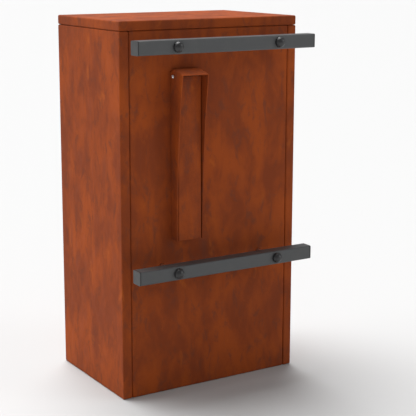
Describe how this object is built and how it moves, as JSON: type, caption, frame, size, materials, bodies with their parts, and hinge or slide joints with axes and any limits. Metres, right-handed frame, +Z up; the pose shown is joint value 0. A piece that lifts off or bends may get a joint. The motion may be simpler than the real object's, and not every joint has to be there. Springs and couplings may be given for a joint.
{
  "type": "fence-mounted letterbox",
  "caption": "Tall rust-finished sheet-steel letterbox with a hooded swinging slot flap, a rear door with a cam lock, and square bars that bolt it to a fence.",
  "frame": {"origin": "centre of the box's underside, on the floor panel's outer face", "axes": "+Z up along the box's height, -Y out of the front face with the slot, +X to the right seen from the front"},
  "size_m": [0.3, 0.2598, 0.55],
  "materials": {
    "rust_finish": "matt rust-brown with orange and purple-brown mottling",
    "bar_coat": "satin dark grey powder coat",
    "black_plastic": "satin black",
    "zinc_plate": "bright zinc plate",
    "nickel_plate": "satin nickel plate"
  },
  "bodies": {
    "box": {"left_side_panel": "rust_finish", "right_side_panel": "rust_finish", "front_and_floor_panel": "rust_finish", "top_cap": "rust_finish", "rear_header": "rust_finish", "slot_hood": "rust_finish", "flap_pin": "zinc_plate", "flap_pin_clip": "zinc_plate", "upper_clamp_bar": "bar_coat", "lower_clamp_bar": "bar_coat", "bar_end_cap_upper_left": "black_plastic", "bar_end_cap_upper_right": "black_plastic", "bar_end_cap_lower_left": "black_plastic", "bar_end_cap_lower_right": "black_plastic", "clamp_bolt_upper_left": "zinc_plate", "clamp_bolt_upper_right": "zinc_plate", "clamp_bolt_lower_left": "zinc_plate", "clamp_bolt_lower_right": "zinc_plate", "head_washer_upper_left": "zinc_plate", "head_washer_upper_right": "zinc_plate", "head_washer_lower_left": "zinc_plate", "head_washer_lower_right": "zinc_plate", "nut_washer_upper_left": "zinc_plate", "nut_washer_upper_right": "zinc_plate", "nut_washer_lower_left": "zinc_plate", "nut_washer_lower_right": "zinc_plate", "clamp_nut_upper_left": "zinc_plate", "clamp_nut_upper_right": "zinc_plate", "clamp_nut_lower_left": "zinc_plate", "clamp_nut_lower_right": "zinc_plate", "bolt_cover_upper_left": "black_plastic", "bolt_cover_upper_right": "black_plastic", "bolt_cover_lower_left": "black_plastic", "bolt_cover_lower_right": "black_plastic"},
    "flap": {"slot_flap": "rust_finish"},
    "door": {"rear_door": "rust_finish", "door_pin_top": "zinc_plate", "door_pin_bottom": "zinc_plate", "lock_barrel": "nickel_plate", "lock_fixing_nut": "zinc_plate"},
    "lock_core": {"lock_plug": "nickel_plate", "lock_cam": "zinc_plate", "cam_screw": "zinc_plate"}
  },
  "joints": [
    {"name": "flap_swing", "type": "hinge", "parent": "box", "child": "flap", "pos_m": [-0.0464, -0.1077, 0.4702], "axis": [-1, 0, 0], "range_deg": [0, 74]},
    {"name": "door_swing", "type": "hinge", "parent": "box", "child": "door", "pos_m": [0.126, 0.095, 0.268], "axis": [0, 0, -1], "range_deg": [0, 110]},
    {"name": "lock_turn", "type": "hinge", "parent": "door", "child": "lock_core", "pos_m": [-0.112, 0.1, 0.275], "axis": [0, 1, 0], "range_deg": [0, 90]}
  ]
}
